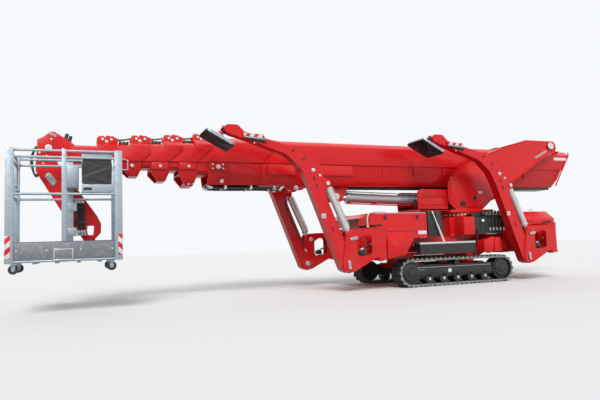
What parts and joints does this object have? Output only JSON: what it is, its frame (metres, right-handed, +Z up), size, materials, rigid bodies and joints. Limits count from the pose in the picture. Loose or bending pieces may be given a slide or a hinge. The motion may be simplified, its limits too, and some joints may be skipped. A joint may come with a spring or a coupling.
{
  "type": "tracked spider lift",
  "caption": "Tracked spider lift: stowed telescopic boom with a folding jib and work basket, four swing-out legs with foot plates, and a turret on a two-track chassis.",
  "frame": {"origin": "on the ground, below the centre of the stowed machine's box", "axes": "+X forward to the basket, +Y to the left side, +Z up"},
  "size_m": [8.68, 1.9, 2.265],
  "materials": {
    "red_paint": "glossy",
    "black_paint": "satin",
    "grey_paint": "satin",
    "rubber": "matt",
    "silver": "satin",
    "galvanised": "matt",
    "engine_grey": "matt",
    "nylon": "matt"
  },
  "bodies": {
    "chassis": {"chassis_frame": "red_paint", "engine_block": "engine_grey", "front_bonnet": "red_paint", "power_boxes": "black_paint", "rear_box": "red_paint", "step_boxes": "black_paint", "track_frames": "black_paint", "tracks": "rubber", "slew_ring": "black_paint", "turret_base": "red_paint", "turret_plates": "red_paint"},
    "boom": {"boom_main": "red_paint"},
    "section_1": {"boom_section_1": "red_paint"},
    "section_2": {"boom_section_2": "red_paint"},
    "section_3": {"boom_section_3": "red_paint"},
    "section_4": {"boom_section_4": "red_paint"},
    "section_5": {"boom_section_5": "red_paint"},
    "lift_barrel": {"lift_barrel": "silver"},
    "lift_rod": {"lift_rod": "silver"},
    "jib": {"jib_arm": "red_paint"},
    "level_plates": {"level_plates": "black_paint"},
    "carrier": {"basket_carrier": "black_paint"},
    "basket": {"basket_frame": "galvanised", "basket_floor": "grey_paint", "control_console": "nylon", "castor_forks": "galvanised"},
    "castor_wheel_front_left": {"castor_wheel_front_left": "nylon"},
    "castor_wheel_front_right": {"castor_wheel_front_right": "nylon"},
    "castor_wheel_rear_left": {"castor_wheel_rear_left": "nylon"},
    "castor_wheel_rear_right": {"castor_wheel_rear_right": "nylon"},
    "console_front_left": {"console_front_left": "red_paint"},
    "leg_front_left": {"leg_front_left": "red_paint"},
    "leg_barrel_front_left": {"leg_barrel_front_left": "silver"},
    "leg_rod_front_left": {"leg_rod_front_left": "silver"},
    "foot_front_left": {"foot_front_left": "rubber"},
    "console_front_right": {"console_front_right": "red_paint"},
    "leg_front_right": {"leg_front_right": "red_paint"},
    "leg_barrel_front_right": {"leg_barrel_front_right": "silver"},
    "leg_rod_front_right": {"leg_rod_front_right": "silver"},
    "foot_front_right": {"foot_front_right": "rubber"},
    "console_rear_left": {"console_rear_left": "red_paint"},
    "leg_rear_left": {"leg_rear_left": "red_paint"},
    "leg_barrel_rear_left": {"leg_barrel_rear_left": "silver"},
    "leg_rod_rear_left": {"leg_rod_rear_left": "silver"},
    "foot_rear_left": {"foot_rear_left": "rubber"},
    "console_rear_right": {"console_rear_right": "red_paint"},
    "leg_rear_right": {"leg_rear_right": "red_paint"},
    "leg_barrel_rear_right": {"leg_barrel_rear_right": "silver"},
    "leg_rod_rear_right": {"leg_rod_rear_right": "silver"},
    "foot_rear_right": {"foot_rear_right": "rubber"}
  },
  "joints": [
    {"name": "boom_lift", "type": "hinge", "parent": "chassis", "child": "boom", "pos_m": [-3.82, 0, 2.18], "axis": [0, -1, 0], "range_deg": [0, 75]},
    {"name": "telescope_1", "type": "slide", "parent": "boom", "child": "section_1", "axis": [1, 0, 0], "range_m": [0, 4.6]},
    {"name": "telescope_2", "type": "slide", "parent": "section_1", "child": "section_2", "axis": [1, 0, 0], "range_m": [0, 4.601]},
    {"name": "telescope_3", "type": "slide", "parent": "section_2", "child": "section_3", "axis": [1, 0, 0], "range_m": [0, 4.601]},
    {"name": "telescope_4", "type": "slide", "parent": "section_3", "child": "section_4", "axis": [1, 0, 0], "range_m": [0, 4.601]},
    {"name": "telescope_5", "type": "slide", "parent": "section_4", "child": "section_5", "axis": [1, 0, 0], "range_m": [0, 4.601]},
    {"name": "lift_barrel_swing", "type": "hinge", "parent": "chassis", "child": "lift_barrel", "pos_m": [-2.4, 0, 1.245], "axis": [0, -1, 0], "range_deg": [0, 82.82]},
    {"name": "lift_rod_slide", "type": "slide", "parent": "lift_barrel", "child": "lift_rod", "axis": [0.9992, 0, 0.04], "range_m": [0, 2.0231]},
    {"name": "jib_swing", "type": "hinge", "parent": "section_5", "child": "jib", "pos_m": [3.96, 0, 1.94], "axis": [0, -1, 0], "range_deg": [0, 150]},
    {"name": "level_for_boom", "type": "hinge", "parent": "jib", "child": "level_plates", "pos_m": [3.46, 0, 0.65], "axis": [0, -1, 0], "range_deg": [-75.1, 0]},
    {"name": "level_for_jib", "type": "hinge", "parent": "level_plates", "child": "carrier", "pos_m": [3.46, 0, 0.65], "axis": [0, -1, 0], "range_deg": [-150.1, 0]},
    {"name": "basket_turn", "type": "hinge", "parent": "carrier", "child": "basket", "pos_m": [3.745, 0.095, 0.68], "axis": [0, 0, -1], "range_deg": [0, 90.1]},
    {"name": "castor_wheel_front_left_spin", "type": "hinge", "parent": "basket", "child": "castor_wheel_front_left", "pos_m": [4.26, 0.89, 0.496], "axis": [0, 1, 0], "continuous": true},
    {"name": "castor_wheel_front_right_spin", "type": "hinge", "parent": "basket", "child": "castor_wheel_front_right", "pos_m": [4.26, 0.285, 0.496], "axis": [0, 1, 0], "continuous": true},
    {"name": "castor_wheel_rear_left_spin", "type": "hinge", "parent": "basket", "child": "castor_wheel_rear_left", "pos_m": [3.28, 0.89, 0.496], "axis": [0, 1, 0], "continuous": true},
    {"name": "castor_wheel_rear_right_spin", "type": "hinge", "parent": "basket", "child": "castor_wheel_rear_right", "pos_m": [3.28, 0.285, 0.496], "axis": [0, 1, 0], "continuous": true},
    {"name": "console_swing_front_left", "type": "hinge", "parent": "chassis", "child": "console_front_left", "pos_m": [-0.235, 0.725, 0.6], "axis": [0, 0, 1], "range_deg": [0, 45]},
    {"name": "leg_lower_front_left", "type": "hinge", "parent": "console_front_left", "child": "leg_front_left", "pos_m": [0.285, 0.725, 0.36], "axis": [0, 1, 0], "range_deg": [0, 54]},
    {"name": "leg_barrel_swing_front_left", "type": "hinge", "parent": "leg_front_left", "child": "leg_barrel_front_left", "pos_m": [0.547, 0.725, 1.455], "axis": [0, 1, 0], "range_deg": [0, 8.88]},
    {"name": "leg_rod_slide_front_left", "type": "slide", "parent": "leg_barrel_front_left", "child": "leg_rod_front_left", "axis": [-0.4094, 0, -0.9123], "range_m": [0, 0.3141]},
    {"name": "foot_tilt_front_left", "type": "hinge", "parent": "leg_front_left", "child": "foot_front_left", "pos_m": [1.982, 0.725, 2.062], "axis": [0, -1, 0], "range_deg": [-8, 28]},
    {"name": "console_swing_front_right", "type": "hinge", "parent": "chassis", "child": "console_front_right", "pos_m": [-0.235, -0.725, 0.6], "axis": [0, 0, -1], "range_deg": [0, 45]},
    {"name": "leg_lower_front_right", "type": "hinge", "parent": "console_front_right", "child": "leg_front_right", "pos_m": [0.285, -0.725, 0.36], "axis": [0, 1, 0], "range_deg": [0, 54]},
    {"name": "leg_barrel_swing_front_right", "type": "hinge", "parent": "leg_front_right", "child": "leg_barrel_front_right", "pos_m": [0.547, -0.725, 1.455], "axis": [0, 1, 0], "range_deg": [0, 8.88]},
    {"name": "leg_rod_slide_front_right", "type": "slide", "parent": "leg_barrel_front_right", "child": "leg_rod_front_right", "axis": [-0.4094, 0, -0.9123], "range_m": [0, 0.3141]},
    {"name": "foot_tilt_front_right", "type": "hinge", "parent": "leg_front_right", "child": "foot_front_right", "pos_m": [1.982, -0.725, 2.062], "axis": [0, -1, 0], "range_deg": [-8, 28]},
    {"name": "console_swing_rear_left", "type": "hinge", "parent": "chassis", "child": "console_rear_left", "pos_m": [-3.315, 0.725, 0.6], "axis": [0, 0, 1], "range_deg": [0, 135]},
    {"name": "leg_lower_rear_left", "type": "hinge", "parent": "console_rear_left", "child": "leg_rear_left", "pos_m": [-2.795, 0.725, 0.36], "axis": [0, 1, 0], "range_deg": [0, 54.1]},
    {"name": "leg_barrel_swing_rear_left", "type": "hinge", "parent": "leg_rear_left", "child": "leg_barrel_rear_left", "pos_m": [-2.533, 0.725, 1.455], "axis": [0, 1, 0], "range_deg": [0, 8.88]},
    {"name": "leg_rod_slide_rear_left", "type": "slide", "parent": "leg_barrel_rear_left", "child": "leg_rod_rear_left", "axis": [-0.4094, 0, -0.9123], "range_m": [0, 0.3141]},
    {"name": "foot_tilt_rear_left", "type": "hinge", "parent": "leg_rear_left", "child": "foot_rear_left", "pos_m": [-1.098, 0.725, 2.062], "axis": [0, -1, 0], "range_deg": [-8, 28]},
    {"name": "console_swing_rear_right", "type": "hinge", "parent": "chassis", "child": "console_rear_right", "pos_m": [-3.315, -0.725, 0.6], "axis": [0, 0, -1], "range_deg": [0, 135]},
    {"name": "leg_lower_rear_right", "type": "hinge", "parent": "console_rear_right", "child": "leg_rear_right", "pos_m": [-2.795, -0.725, 0.36], "axis": [0, 1, 0], "range_deg": [0, 54.1]},
    {"name": "leg_barrel_swing_rear_right", "type": "hinge", "parent": "leg_rear_right", "child": "leg_barrel_rear_right", "pos_m": [-2.533, -0.725, 1.455], "axis": [0, 1, 0], "range_deg": [0, 8.88]},
    {"name": "leg_rod_slide_rear_right", "type": "slide", "parent": "leg_barrel_rear_right", "child": "leg_rod_rear_right", "axis": [-0.4094, 0, -0.9123], "range_m": [0, 0.3141]},
    {"name": "foot_tilt_rear_right", "type": "hinge", "parent": "leg_rear_right", "child": "foot_rear_right", "pos_m": [-1.098, -0.725, 2.062], "axis": [0, -1, 0], "range_deg": [-8, 28]}
  ],
  "couplings": [
    {"joint": "telescope_2", "follows": "telescope_1", "ratio": 1},
    {"joint": "telescope_3", "follows": "telescope_1", "ratio": 1},
    {"joint": "telescope_4", "follows": "telescope_1", "ratio": 1},
    {"joint": "telescope_5", "follows": "telescope_1", "ratio": 1},
    {"joint": "lift_barrel_swing", "follows": "boom_lift", "ratio": 1.1016},
    {"joint": "lift_rod_slide", "follows": "boom_lift", "m_per_rad": 1.544},
    {"joint": "level_for_boom", "follows": "boom_lift", "ratio": -1},
    {"joint": "level_for_jib", "follows": "jib_swing", "ratio": -1},
    {"joint": "basket_turn", "follows": "jib_swing", "ratio": 0.6},
    {"joint": "leg_barrel_swing_front_left", "follows": "leg_lower_front_left", "ratio": 0.16267},
    {"joint": "leg_rod_slide_front_left", "follows": "leg_lower_front_left", "m_per_rad": 0.33111},
    {"joint": "leg_barrel_swing_front_right", "follows": "leg_lower_front_right", "ratio": 0.16267},
    {"joint": "leg_rod_slide_front_right", "follows": "leg_lower_front_right", "m_per_rad": 0.33111},
    {"joint": "leg_lower_rear_left", "follows": "console_swing_rear_left", "ratio": 0.4},
    {"joint": "leg_barrel_swing_rear_left", "follows": "console_swing_rear_left", "ratio": 0.065068},
    {"joint": "leg_rod_slide_rear_left", "follows": "console_swing_rear_left", "m_per_rad": 0.13245},
    {"joint": "leg_lower_rear_right", "follows": "console_swing_rear_right", "ratio": 0.4},
    {"joint": "leg_barrel_swing_rear_right", "follows": "console_swing_rear_right", "ratio": 0.065068},
    {"joint": "leg_rod_slide_rear_right", "follows": "console_swing_rear_right", "m_per_rad": 0.13245}
  ]
}
